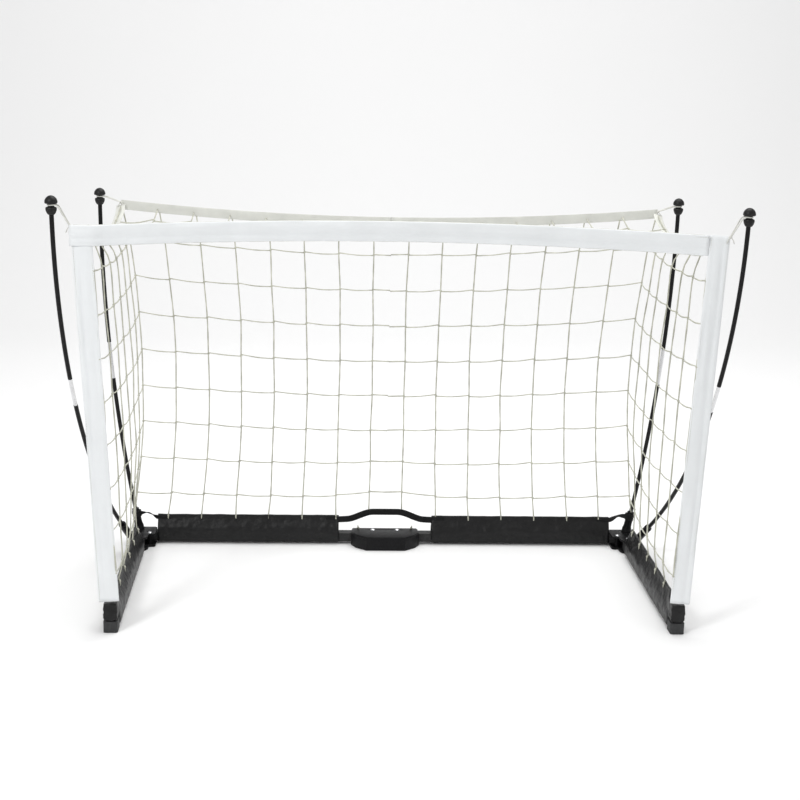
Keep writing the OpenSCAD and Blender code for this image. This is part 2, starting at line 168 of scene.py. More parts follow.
def oval(width, thick, sides, dent=0.0, dent_at=0.1, power=0.55):
    """A flattened tube's section: width along up, thick across, with a shallow lengthwise fold."""
    out = []
    for k in range(sides):
        a = 2 * math.pi * k / sides
        s, c = math.sin(a), math.cos(a)
        b = width / 2 * math.copysign(abs(s) ** 0.8, s)
        t = thick / 2 * math.copysign(abs(c) ** power, c)
        fold = dent * math.exp(-((b / width - dent_at) / 0.07) ** 2)
        out.append((t - math.copysign(fold, t), b))
    return out


# Making objects ----------------------------------------------------------------
def add_object(name, data):
    obj = bpy.data.objects.new(name, data)
    bpy.context.scene.collection.objects.link(obj)
    return obj


def new_mesh(name, points, faces):
    mesh = bpy.data.meshes.new(name)
    mesh.from_pydata([tuple(p) for p in points], [], faces)
    mesh.update()
    return mesh


class Shape:
    """Collects the points and faces of one piece."""

    def __init__(self):
        self.points = []
        self.faces = []

    def rings(self, rings, caps=True):
        """Joins closed rings of equal length into a skin."""
        start, n = len(self.points), len(rings[0])
        for ring in rings:
            self.points.extend(ring)
        for i in range(len(rings) - 1):
            for k in range(n):
                a, b = start + i * n + k, start + i * n + (k + 1) % n
                self.faces.append((a, b, b + n, a + n))
        if caps:
            self.faces.append(tuple(start + k for k in reversed(range(n))))
            self.faces.append(tuple(start + (len(rings) - 1) * n + k for k in range(n)))

    def sweep(self, path, section, up):
        """Sweeps section(i, t), a closed list of (across, up) offsets, along the path."""
        rings = []
        last = len(path) - 1
        for i, p in enumerate(path):
            along = (path[min(i + 1, last)] - path[max(i - 1, 0)]).normalized()
            lift = up(i / last) if callable(up) else Vector(up)
            across = along.cross(lift).normalized()
            lift = across.cross(along).normalized()
            rings.append([p + across * a + lift * b for a, b in section(i, i / last)])
        self.rings(rings)

    def string(self, path, radius, sides=6, pitch=24 * MM):
        """A twisted string: an oval section that turns as it goes."""
        clear_of_all = Vector((0.31, 0.87, 0.38))  # no string runs along this
        strand = 0.16                        # how far the oval stands out, as a share of the radius
        gone = 0.0
        rings = []
        last = len(path) - 1
        for i, p in enumerate(path):
            along = (path[min(i + 1, last)] - path[max(i - 1, 0)]).normalized()
            across = along.cross(clear_of_all).normalized()
            lift = across.cross(along)
            turn = 2 * math.pi * gone / pitch
            ring = []
            for k in range(sides):
                a = 2 * math.pi * k / sides
                r = radius * (1 + strand * math.cos(2 * (a - turn)))
                ring.append(p + across * (r * math.cos(a)) + lift * (r * math.sin(a)))
            rings.append(ring)
            if i < last:
                gone += (path[i + 1] - p).length
        self.rings(rings)

    def tail(self, start, *offsets, radius=STRING_R, step=5 * MM):
        """A loose string end from start, through points given in millimetres from it."""
        self.string(spline([start, *(start + Vector(o) * MM for o in offsets)], step), radius)

    def knot(self, centre, radius):
        """A small lumpy knot."""
        levels, sides = 5, 7
        rings = []
        for i in range(levels):
            a = math.pi * (i + 0.35) / (levels - 0.3)
            r, h = radius * math.sin(a), -radius * 0.95 * math.cos(a)
            rings.append([])
            for k in range(sides):
                b = 2 * math.pi * k / sides
                lump = Vector((r * math.cos(b), r * 0.8 * math.sin(b), h)) * rng.uniform(0.86, 1.14)
                rings[-1].append(centre + lump)
        self.rings(rings)

    def piece(self, name, material, slot):
        """Makes the collected skin an object, smooth and with its faces turned outwards."""
        mesh = new_mesh(name, self.points, self.faces)
        work = bmesh.new()
        work.from_mesh(mesh)
        bmesh.ops.recalc_face_normals(work, faces=work.faces)
        work.to_mesh(mesh)
        work.free()
        mesh.shade_smooth()
        mesh.materials.append(material)
        obj = add_object(name, mesh)
        return obj


# Materials ---------------------------------------------------------------------
WAVE_TURN = 6.283                            # a weave's number over this is its wave texture's scale
CREASE_DEPTH, WEAVE_DEPTH, STREAK_DEPTH, GRAIN_DEPTH = 0.006, 0.0004, 0.0003, 0.0006
ROUGH_SPREAD = 0.09


def finish(name, colour, rough, metal=0.0, sheen=0.0, gloss=0.5, stain=0.12, stain_size=60,
           grain=(900, 0.08), weave=None, creases=None, wear=None, streaks=None):
    """A procedural finish: a stained colour, uneven roughness, and bumps over each other.

    grain, creases and streaks are (features per metre, bump strength), and weave is (twice the
    threads per metre, bump strength). wear is the colour that shows along worn edges.
    """
    made = bpy.data.materials.new(name)
    made.use_nodes = True
    nodes, link = made.node_tree.nodes, made.node_tree.links.new
    shader = nodes["Principled BSDF"]
    for socket, value in (("Metallic", metal), ("Specular IOR Level", gloss), ("Sheen Weight", sheen),
                          ("Sheen Roughness", 0.45), ("Coat Weight", 0.0), ("Coat Roughness", 0.2)):
        shader.inputs[socket].default_value = value
    place = nodes.new("ShaderNodeTexCoord").outputs["Object"]

    def stretched(scale):
        mapping = nodes.new("ShaderNodeMapping")
        mapping.inputs["Scale"].default_value = scale
        link(place, mapping.inputs["Vector"])
        return mapping.outputs["Vector"]

    def cloud(size, detail=3.0, vector=None):
        tex = nodes.new("ShaderNodeTexNoise")
        tex.inputs["Scale"].default_value = size
        tex.inputs["Detail"].default_value = detail
        link(vector or place, tex.inputs["Vector"])
        return tex.outputs["Fac"]

    def joined(kind, a, b):
        node = nodes.new("ShaderNodeMath")
        node.operation = kind
        link(a, node.inputs[0])
        link(b, node.inputs[1])
        return node.outputs[0]

    ramp = nodes.new("ShaderNodeValToRGB")
    dark, light = ramp.color_ramp.elements
    dark.position, light.position = 0.3, 0.7
    dark.color = (*(c * (1 - stain) for c in colour), 1)
    light.color = (*(min(1.0, c * (1 + stain)) for c in colour), 1)
    link(cloud(stain_size), ramp.inputs["Fac"])
    tint = ramp.outputs["Color"]
    if wear:
        edge = nodes.new("ShaderNodeNewGeometry").outputs["Pointiness"]
        band = nodes.new("ShaderNodeMapRange")
        band.inputs["From Min"].default_value = 0.52
        band.inputs["From Max"].default_value = 0.6
        link(edge, band.inputs["Value"])
        blend = nodes.new("ShaderNodeMix")
        blend.data_type = "RGBA"
        blend.inputs["B"].default_value = (*wear, 1)
        link(joined("MULTIPLY", band.outputs["Result"], cloud(220, 4.0)), blend.inputs["Factor"])
        link(tint, blend.inputs["A"])
        tint = blend.outputs["Result"]
    link(tint, shader.inputs["Base Color"])
    rough_map = nodes.new("ShaderNodeMapRange")
    rough_map.inputs["To Min"].default_value = max(0.02, rough - ROUGH_SPREAD)
    rough_map.inputs["To Max"].default_value = min(1.0, rough + ROUGH_SPREAD)
    link(cloud(stain_size * 3), rough_map.inputs["Value"])
    link(rough_map.outputs["Result"], shader.inputs["Roughness"])
    normal = None

    def bump(height, strength, distance):
        nonlocal normal
        node = nodes.new("ShaderNodeBump")
        node.inputs["Strength"].default_value = strength
        node.inputs["Distance"].default_value = distance
        link(height, node.inputs["Height"])
        if normal is not None:
            link(normal, node.inputs["Normal"])
        normal = node.outputs["Normal"]

    if creases:
        bump(cloud(creases[0], 4.0), creases[1], CREASE_DEPTH)
    if weave:
        threads = None
        for axis in "XYZ":
            wave = nodes.new("ShaderNodeTexWave")
            wave.bands_direction = axis
            wave.inputs["Scale"].default_value = weave[0] / WAVE_TURN
            wave.inputs["Distortion"].default_value = 0.4
            link(place, wave.inputs["Vector"])
            threads = joined("ADD", threads, wave.outputs["Fac"]) if threads else wave.outputs["Fac"]
        bump(threads, weave[1], WEAVE_DEPTH)
    if streaks:
        bump(cloud(streaks[0], 2.0, stretched((1, 1, 0.04))), streaks[1], STREAK_DEPTH)
    bump(cloud(grain[0], 2.0), grain[1], GRAIN_DEPTH)
    link(normal, shader.inputs["Normal"])
    return made


BLACK = (0.005, 0.005, 0.0055)
white_nylon = finish("white_nylon", (0.80, 0.82, 0.83), 0.48, sheen=0.04, gloss=0.3, stain=0.025,
                     stain_size=14, weave=(2400, 0.12), creases=(26, 0.25), grain=(300, 0.05))
binding = finish("binding_tape", (0.67, 0.675, 0.63), 0.7, sheen=0.15, gloss=0.3, stain=0.07,
                 stain_size=22, weave=(2200, 0.25), creases=(40, 0.2))
string_white = finish("net_string", (0.50, 0.50, 0.42), 0.75, sheen=0.1, gloss=0.25, stain=0.2,
                      stain_size=35, grain=(1500, 0.3))
black_nylon = finish("black_nylon", (0.005, 0.005, 0.0053), 0.4, gloss=0.3, stain=0.25,
                     stain_size=25, weave=(1800, 0.12), creases=(42, 0.8), grain=(120, 0.15))
webbing = finish("black_webbing", (0.006, 0.006, 0.0065), 0.72, gloss=0.25, stain=0.2,
                 stain_size=60, weave=(1500, 0.6))
elastic_cord = finish("elastic_cord", (0.74, 0.74, 0.69), 0.6, sheen=0.2, gloss=0.3, stain=0.08,
                      weave=(4200, 0.5))
fibreglass = finish("fibreglass", BLACK, 0.3, gloss=0.22, stain=0.15, streaks=(700, 0.15),
                    grain=(1600, 0.04))
steel = finish("ferrule_steel", (0.72, 0.72, 0.73), 0.24, metal=1.0, stain=0.06, streaks=(900, 0.25))
zinc = finish("bright_zinc", (0.74, 0.75, 0.77), 0.26, metal=1.0, stain=0.1, grain=(600, 0.1))
nut_metal = finish("plated_nut", (0.5, 0.51, 0.53), 0.4, metal=1.0, stain=0.15, grain=(500, 0.15))
moulded = finish("moulded_black", BLACK, 0.4, gloss=0.09, stain=0.2, stain_size=40,
                 grain=(700, 0.12), wear=(0.04, 0.04, 0.042))
rubber = finish("cap_rubber", (0.005, 0.005, 0.005), 0.45, gloss=0.3, stain=0.2, stain_size=90,
                grain=(800, 0.18), wear=(0.04, 0.04, 0.04))
powder = finish("powder_coat", BLACK, 0.45, gloss=0.12, stain=0.15, grain=(1100, 0.25),
                wear=(0.06, 0.06, 0.06))
foot_rubber = finish("foot_rubber", (0.034, 0.035, 0.036), 0.7, gloss=0.2, stain=0.18,
                     stain_size=120, grain=(420, 0.5), wear=(0.12, 0.12, 0.12))


# Camera, light and floor ---------------------------------------------------------
CAMERA_PLACE = (-0.206, -4.224, 1.397)
CAMERA_YAW, CAMERA_PITCH, CAMERA_ROLL = (math.radians(a) for a in (-3.25, 13.1, 1.37))
LENS, SENSOR = 70.9, 36
FLOOR_HALF = 14
FLOOR_DROP = 0.0006                          # keeps the floor just under what stands on it
BEND_Y, BEND_R, WALL_TOP = 3.0, 2.5, 9.0     # where the floor bends up into the wall, and how


def set_camera():
    data = bpy.data.cameras.new("camera")
    data.sensor_width = SENSOR
    data.lens = LENS
    data.clip_end = 60
    eye = add_object("camera", data)
    eye.matrix_world = (Matrix.Translation(CAMERA_PLACE) @ Matrix.Rotation(CAMERA_YAW, 4, "Z")
                        @ Matrix.Rotation(math.pi / 2 - CAMERA_PITCH, 4, "X")
                        @ Matrix.Rotation(CAMERA_ROLL, 4, "Z"))
    bpy.context.scene.camera = eye


def add_light(name, place, aim, size, power):
    data = bpy.data.lights.new(name, "AREA")
    data.size = size
    data.energy = power
    lamp = add_object(name, data)
    lamp.location = place
    lamp.rotation_euler = (Vector(aim) - Vector(place)).to_track_quat("-Z", "Y").to_euler()


def set_studio():
    world = bpy.context.scene.world or bpy.data.worlds.new("studio")
    bpy.context.scene.world = world
    world.use_nodes = True
    sky = world.node_tree.nodes["Background"]
    sky.inputs["Color"].default_value = (1.0, 1.0, 1.0, 1)
    sky.inputs["Strength"].default_value = 0.52
    bpy.context.scene.view_settings.view_transform = "Standard"
    add_light("key", place=(-2.6, -3.6, 3.4), aim=(0, -0.2, 0.4), size=1.0, power=84)
    add_light("fill", place=(3.4, -3.4, 1.8), aim=(0, -0.2, 0.4), size=2.4, power=14)
    add_light("back", place=(0.6, 0.6, 4.2), aim=(0, 2.2, 0.2), size=3.0, power=120)


def make_floor():
    """A floor that bends up into a wall behind the goal."""
    bend = [math.pi / 2 * k / 16 for k in range(1, 17)]
    profile = [(-FLOOR_HALF, 0.0), (BEND_Y, 0.0)]
    profile += [(BEND_Y + BEND_R * math.sin(a), BEND_R - BEND_R * math.cos(a)) for a in bend]
    profile.append((BEND_Y + BEND_R, WALL_TOP))
    points = [Vector((x, y, z - FLOOR_DROP)) for y, z in profile for x in (-FLOOR_HALF, FLOOR_HALF)]
    faces = [(2 * k, 2 * k + 1, 2 * k + 3, 2 * k + 2) for k in range(len(profile) - 1)]
    mesh = new_mesh("floor", points, faces)
    mesh.shade_smooth()
    mesh.materials.append(finish("floor", (0.93, 0.93, 0.93), 0.9, gloss=0.1, stain=0.004,
                                 stain_size=0.7, grain=(30, 0.01)))
    add_object("floor", mesh)


# The net's shape -----------------------------------------------------------------
def net_half(z):
    """Half the rear panel's width at height z: pinched in the middle by the pull of the side panels."""
    if z > WAIST_Z:
        return WAIST_X + (band_x - WAIST_X) * ((z - WAIST_Z) / (band_z - WAIST_Z)) ** 2
    return WAIST_X + FOOT_FLARE * ((WAIST_Z - z) / (WAIST_Z - hem_top)) ** 2


def band_top(x):
    """Upper edge of the rear band, which sags to the middle."""
    return band_z - band_sag * (1 - (x / band_x) ** 2)


def row_z(j, u):
    """Height of row j where it is u of the way out from the middle: 0 to 1."""
    lift = (12 + 3 * j) * MM                 # rows rise to the corners, the upper ones more
    handle = HANDLE_LIFT[j] * math.exp(-(u * 7) ** 2) if j < len(HANDLE_LIFT) else 0.0
    return ROW_0 + ROW_H * j + lift * u * u + handle


def strap_z(x):
    """Middle height of the carry strap, which arches up over the hub."""
    return mix(STRAP_HIGH, STRAP_LOW, smooth((abs(x) - STRAP_FLAT) / STRAP_SLOPE))


def post_point(z, inner=0.0):
    """Centre of a post at height z, moved inwards by inner, for the right side."""
    t = (z - post_lo.z) / (post_hi.z - post_lo.z)
    x = mix(post_lo.x + hem_w / 2, post_hi.x - hem_w / 2, t) - inner
    return Vector((x, mix(post_lo.y, post_hi.y, t), z))


def side_band_top(t):
    """Upper edge of the side's binding, from the rear corner (t = 0) to the post (t = 1)."""
    z = band_z - 2 * MM - SIDE_SAG * arch(t, 0.6)
    front = post_point(post_hi.z, hem_w / 2 - 6 * MM)
    return Vector((mix(band_x, front.x, t), mix(-2 * MM, front.y + 6 * MM, t), z))


def bar_line(x, z_share=0.5):
    """Point of the crossbar at x; z_share goes from its lower to its upper edge."""
    pull = max(0.0, 1 - (x / bar_end_x) ** 2)
    return Vector((x, mix(mouth_y, bar_back_y, pull), bar_lo.z + hem_w * z_share + BAR_RISE * pull))


def rear_node(i, j, side):
    """A knot of the rear panel: column i, row j. Row -1 is in the hem and row ROWS is on the band."""
    u = (i + 0.5) / CELLS
    if j < 0:
        z = strap_z(u * net_half(0.1)) + 9 * MM if i == 0 else hem_top - TUCK
        return Vector((side * u * net_half(z), -3 * MM, z))
    z = row_z(j, u) if j < ROWS else band_top(u * band_x) - band_h + LAP
    clear_of_pole = i == COLUMNS - 1 and z < 0.25
    return Vector((side * u * net_half(z), -6 * MM if clear_of_pole else 0.0, z))


def shaken(p, much):
    return p + Vector((rng.uniform(-much, much), rng.uniform(-much, much), rng.uniform(-much, much)))


def net_panel(shape, grid, sag, first=0):
    """Strings along both ways of a grid of knots, with columns from the given first one.

    Column strings run through, row strings hang from knot to knot.
    """
    for column in grid[first:]:
        shape.string(spline(column, 14 * MM), STRING_R)
    for left, right in zip(grid, grid[1:]):
        for j in range(1, len(left) - 1):
            step = Vector((0, 0, rng.uniform(0.8, 2.6) * MM))
            a, b = left[j] - step, right[j] + step
            middle = (a + b) / 2 + Vector((0, 0, -sag * rng.uniform(0.5, 1.4)))
            shape.string(spline([a, middle, b], 12 * MM), STRING_R * 0.88)
    for column in grid[first:]:
        for p in column[1:-1]:
            shape.knot(p, KNOT_R)


def make_rear_net(side_name, side):
    """Half the rear panel, tied into its sleeve. Returns its grid of knots."""
    shape = Shape()
    grid = [[shaken(rear_node(i, j, side), SHAKE) for j in range(-1, ROWS + 1)] for i in range(COLUMNS)]
    net_panel(shape, grid, 2.2 * MM)
    for end in grid[0][1:-1]:
        middle = Vector((0, end.y, end.z - 1.5 * MM))
        shape.string(spline([middle, end], 12 * MM), STRING_R)
    for column in grid[1:]:
        shape.knot(column[0] + Vector((0, 1.5 * MM, 0)), 3.1 * MM)
        shape.tail(column[0], (0, -2, -7), (2, 2, -11))
    net = shape.piece(f"rear_net_strings_{side_name}", string_white, "net_string")
    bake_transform(net)
    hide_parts(f"rear_net_{side_name}")
    return grid


def side_node(corner, j, t, side):
    """A knot of a side panel: row j, t of the way from the rear corner's knot to the post."""
    if j < 0:
        y = mix(-0.03, foot_front_y + 0.05, t)
        return Vector((side * (side_x - 1 * MM), y, hem_top - TUCK))
    top = side_band_top(t)
    if j == ROWS:
        return Vector((side * top.x, top.y, top.z - band_h + LAP))
    z = row_z(j, 1.0)
    under_band = min(z, top.z - band_h - 30 * MM)
    z = mix(z, under_band, smooth((j - 5) / 2)) - 9 * MM * arch(t)
    front = post_point(z, hem_w / 2 - 2 * MM)
    front.x *= side
    p = corner.lerp(front, t)
    p.x -= side * 7 * MM * arch(t)
    p.z = z
    return shaken(p, SHAKE)


def make_side_net(side_name, side, rear_grid):
    """A side panel. Its first column is the rear panel's last, which is drawn there."""
    shape = Shape()
    corners = rear_grid[-1]
    grid = [corners]
    for k in range(1, SIDE_CELLS + 1):
        grid.append([side_node(corners[j + 1], j, k / SIDE_CELLS, side) for j in range(-1, ROWS + 1)])
    net_panel(shape, grid, 3.5 * MM, first=1)
    for column in grid[1:-1]:
        tie = column[0] + Vector((-side * 2.5, 0, -1)) * MM
        shape.knot(tie, 4.6 * MM)
        shape.tail(tie, (-side * 3, -3, -6), (-side * 2, -5, -12))
    net = shape.piece(f"side_net_strings_{side_name}", string_white, "net_string")
    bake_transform(net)
    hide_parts(f"side_net_{side_name}")


def roof_node(u, t):
    """A knot of the roof: u from -1 at the left to 1 at the right, t from the rear to the crossbar."""
    rear = Vector((u * band_x, -2 * MM, band_top(u * band_x) - 16 * MM))
    front = bar_line(u * bar_end_x, 0.97) + Vector((0, 4 * MM, 0))
    p = rear.lerp(front, t)
    p.x = u * mix(p.x / u, side_band_top(t).x, abs(u) ** 4)
    p.z -= mix(24, 48, abs(u) ** 5) * MM * arch(t, 0.7)
    return p if t in (0, 1) else shaken(p, 1.5 * MM)


def make_roof():
    shape = Shape()
    across = [(i - CELLS) / CELLS for i in range(2 * COLUMNS)]
    grid = [[roof_node(u, k / ROOF_CELLS) for k in range(ROOF_CELLS + 1)] for u in across]
    net_panel(shape, grid, 5 * MM)
    net = shape.piece("roof_net_strings", string_white, "net_string")
    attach(net, "mouth_top")
    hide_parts("roof_net")
    return net


# Hems, bands, posts ----------------------------------------------------------------
def cloth_strip(name, path, width, thick, up, material, slot, size, amount, seed,
                fold=0.0, dent=0.0, dent_at=0.1):
    """A flattened cloth tube along a path.

    amount is the height of short wrinkles of the given size, and fold that of long lengthwise ones.
    """
    shape = Shape()
    runs = [0.0]
    for a, b in zip(path, path[1:]):
        runs.append(runs[-1] + (b - a).length)

    def section(i, t):
        out = []
        along = runs[i]
        for a, b in oval(width, thick, 40, dent, dent_at):
            push = amount * wrinkle(Vector((along + 0.7 * b, b * 1.7, a * 3)), size, seed)
            push += fold * wrinkle(Vector((along * 0.09, b, a * 3)), 11 * MM, seed + 4)
            fade = 1 - (abs(b) / (width / 2)) ** 6
            out.append((a + push * fade, b))
        return out

    shape.sweep(path, section, up)
    return shape.piece(name, material, slot)


def stitches(shape, path, up, offset, out):
    """A row of stitches beside a path, offset along up and lifted off the cloth by out."""
    gone, due = 0.0, 0.0
    for a, b in zip(path, path[1:]):
        span = (b - a).length
        along = (b - a).normalized()
        across = along.cross(up).normalized()
        lift = across.cross(along).normalized()
        while due < gone + span - STITCH:
            start = a + along * (due - gone) + lift * offset + across * out
            ring = [across * (THREAD_R * math.cos(q)) + lift * (THREAD_R * math.sin(q))
                    for q in (0, math.pi / 2, math.pi, 3 * math.pi / 2)]
            shape.rings([[start + r for r in ring], [start + along * STITCH + r for r in ring]])
            due += STITCH + STITCH_GAP
        gone += span


def make_crossbar():
    """The crossbar's hem, its stitching and the cords along its edges."""
    left_end, right_end = -(post_hi.x + 1 * MM), bar_end_x + 3 * MM
    count = int((right_end - left_end) / (10 * MM))
    path = []
    for k in range(count + 1):
        x = mix(left_end, right_end, k / count)
        p = bar_line(x)
        p.y -= 5.5 * MM * smooth((-x - bar_end_x + 20 * MM) / (20 * MM))  # over the left post's top
        path.append(p)
    hem = cloth_strip("crossbar_hem", path, hem_w, 9 * MM, UP, white_nylon, "white_nylon",
                      48 * MM, 1.3 * MM, 3.1, fold=1.1 * MM, dent=3.6 * MM, dent_at=-0.14)
    sewn = Shape()
    for offset in (hem_w / 2 - 5 * MM, -hem_w / 2 + 4 * MM):
        stitches(sewn, path, UP, offset, 2.5 * MM)
    thread = sewn.piece("crossbar_stitching", string_white, "net_band")
    edge = Shape()
    edge.string([p + Vector((0, 1.5 * MM, 1 * MM - hem_w / 2)) for p in path[4:-4]], 1.7 * MM)
    edge.string([p + Vector((0, 2.5 * MM, hem_w / 2 - 1 * MM)) for p in path[1:-1]], 1.4 * MM)
    cord = edge.piece("crossbar_edge_cord", string_white, "net_string")
    for piece in (hem, thread, cord):
        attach(piece, "mouth_top")
    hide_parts("crossbar")
    return [hem, thread, cord]


def make_post(side_name, side):
    """A post's hem and stitching. The left post ends under the crossbar."""
    top_z = post_hi.z if side > 0 else bar_lo.z + 6 * MM
    count = 80
    path = [post_point(mix(post_lo.z + 2 * MM, top_z, k / count)) for k in range(count + 1)]
    for p in path:
        p.x *= side
    across = Vector((side, 0, 0))
    hem = cloth_strip(f"post_hem_{side_name}", path, hem_w, 7.5 * MM, across, white_nylon, "white_nylon",
                      60 * MM, 1.1 * MM, 5.0 + side, fold=2.6 * MM, dent=1.6 * MM, dent_at=0.2)
    sewn = Shape()
    for offset in (hem_w / 2 - 3.5 * MM, -hem_w / 2 + 3.5 * MM):
        stitches(sewn, path, across, offset, -2.6 * MM * side)
    thread = sewn.piece(f"post_stitching_{side_name}", string_white, "net_band")
    for piece in (hem, thread):
        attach(piece, f"leg_{side_name}")
    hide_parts(f"front_post_{side_name}")


def make_bands(side_name, side):
    """The binding along half the rear panel's top edge and along the side panel's."""
    count = 60
    rear = []
    for k in range(count + 1):
        x = band_x * k / count
        rear.append(Vector((side * x, 0, band_top(x) - band_h / 2)))
    tape = cloth_strip(f"rear_band_tape_{side_name}", rear, band_h, TAPE_THICK, UP, binding, "net_band",
                       45 * MM, 0.9 * MM, 8.0)
    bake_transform(tape)
    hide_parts(f"rear_band_{side_name}")
    count = 48
    edge = []
    for k in range(count + 1):
        p = side_band_top(k / count)
        edge.append(Vector((side * p.x, p.y, p.z - band_h / 2)))

    def leaning(t):
        """The tape lies over at the rear corner and stands upright from the middle on."""
        return Vector((-side * 3 * (1 - smooth((t - 0.15) / 0.45)), 0, 1))

    top = cloth_strip(f"side_band_tape_{side_name}", edge, band_h, TAPE_THICK, leaning, binding,
                      "net_band", 40 * MM, 0.9 * MM, 11.0 + side)
    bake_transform(top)
    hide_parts(f"side_band_{side_name}")


# Black sleeves and straps -----------------------------------------------------------
def sleeve_section(low, top, half, hem):
    """A teardrop: round the tube below, drawn in to a hem above. Offsets are (across, height)."""
    foot_r = 9 * MM
    shoulder = low + (top - low) * 0.42
    foot = [(half * math.cos(a), low + foot_r + foot_r * math.sin(a)) for a in
            (math.pi + math.pi * k / 10 for k in range(11))]
    rise = [(half * mix(1, 0.96, t), mix(low + foot_r, shoulder, t)) for t in (0.2, 0.4, 0.6, 0.8, 1.0)]
    neck = [(mix(half * 0.96, hem, smooth(t)), mix(shoulder, top, t)) for t in
            (0.1, 0.2, 0.3, 0.4, 0.5, 0.6, 0.7, 0.8, 0.9, 0.97, 1.0)]
    right = rise + neck
    return foot + right + [(-a, z) for a, z in reversed(right)]


def creased(q, height):
    """How far the sleeve's cloth stands out at q: sharp diagonal creases, softer at its foot and hem."""
    slack = math.sin(math.pi * min(1.0, 0.06 + height * 0.98)) ** 0.7
    lie = Vector((q.x + 0.8 * q.z, q.y + 0.8 * q.z, 2.1 * q.z - 0.3 * (q.x + q.y)))
    broad = wrinkle(lie, 46 * MM, 2.0)
    ridge = 1 - 2 * abs(wrinkle(Vector((lie.x, lie.y, lie.z * 0.7)), 27 * MM, 6.0)) ** 0.8
    fine = 1 - 2 * abs(wrinkle(q, 13 * MM, 9.0)) ** 0.9
    return slack * (1.6 * broad + 1.5 * ridge + 0.55 * fine) * MM


def make_sleeve(kind, side_name, body, start, end, across, profile, closed_end):
    """A loose nylon sleeve on a base tube from start to end, along the ground.

    profile(t) gives its lowest and highest points, its half width and half its hem's thickness.
    """
    shape = Shape()
    run = end - start
    count = int(run.length / (4.5 * MM))
    rings = []
    for k in range(count + 1):
        t = k / count
        p = start + run * t
        low, top, half, hem = profile(t)
        ring = []
        for a, z in sleeve_section(low, top, half, hem):
            q = p + across * a + Vector((0, 0, z))
            push = creased(q, (z - low) / (top - low))
            q += across * (math.copysign(1, a) * push)
            if z > top - 12 * MM:
                q.z += 1.1 * MM * wrinkle(Vector((q.x, q.y, 0)), 34 * MM, 9.0)
            ring.append(q)
        rings.append(ring)
    if closed_end:
        low, top = profile(1)[:2]
        centre = end + Vector((0, 0, (low + top) / 2))
        rings.append([centre.lerp(q, 0.9) + run.normalized() * 2 * MM for q in rings[-1]])
    shape.rings(rings, caps=False)
    if closed_end:
        total = len(shape.points)
        shape.faces.append(tuple(range(total - len(rings[0]), total)))
    sleeve = shape.piece(f"{kind}_sleeve_cloth_{side_name}", black_nylon, "black_nylon")
    thick = sleeve.modifiers.new("cloth", "SOLIDIFY")
    thick.thickness = CLOTH
    thick.offset = 1
    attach(sleeve, body)
    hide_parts(f"{kind}_sleeve_{side_name}")
    around = length_of([Vector(p) for p in sleeve_section(*profile(0))])


def make_sleeves(side_name, side):
    sleeve_top = hem_top - 1 * MM
    make_sleeve("rear", side_name, f"rear_{side_name}",
                Vector((side * handle_x, 0, 0)), Vector((side * sleeve_out_x, 0, 0)), Vector((0, 1, 0)),
                lambda t: (SLEEVE_LOW, sleeve_top, REAR_SLEEVE_HALF, HEM_HALF), False)
    back_y, front_y = side_sleeve_hi.y + 6 * MM, foot_front_y + 3 * MM
    box_t = (back_y - (foot_front_y + 38.5 * MM)) / (back_y - front_y)

    def profile(t):
        """Near its front end, at box_t, the sleeve rises over the foot cap and turns into a closed box."""
        return (mix(SLEEVE_LOW, foot_hi.z + 0.9 * MM, smooth((t - box_t + 0.004) / 0.008)),
                mix(sleeve_top, side_box_top, smooth((t - box_t + 0.09) / 0.08)),
                mix(SIDE_SLEEVE_HALF, 15.4 * MM, smooth((t - box_t + 0.01) / 0.02)),
                mix(HEM_HALF, 14.6 * MM, smooth((t - box_t + 0.11) / 0.11)))

    make_sleeve("side", side_name, f"leg_{side_name}",
                Vector((side * side_x, back_y, 0)), Vector((side * side_x, front_y, 0)),
                Vector((1, 0, 0)), profile, True)


def flat_strap(shape, points, width, thick, turn=lambda t: 0.0):
    """Webbing along points, its width upright, turned about its own line by turn(t)."""
    def section(i, t):
        a = turn(t)
        return [(u * math.cos(a) - v * math.sin(a), u * math.sin(a) + v * math.cos(a))
                for u, v in oval(width, thick, 14, power=0.35)]

    shape.sweep(spline(points, 5 * MM), section, UP)


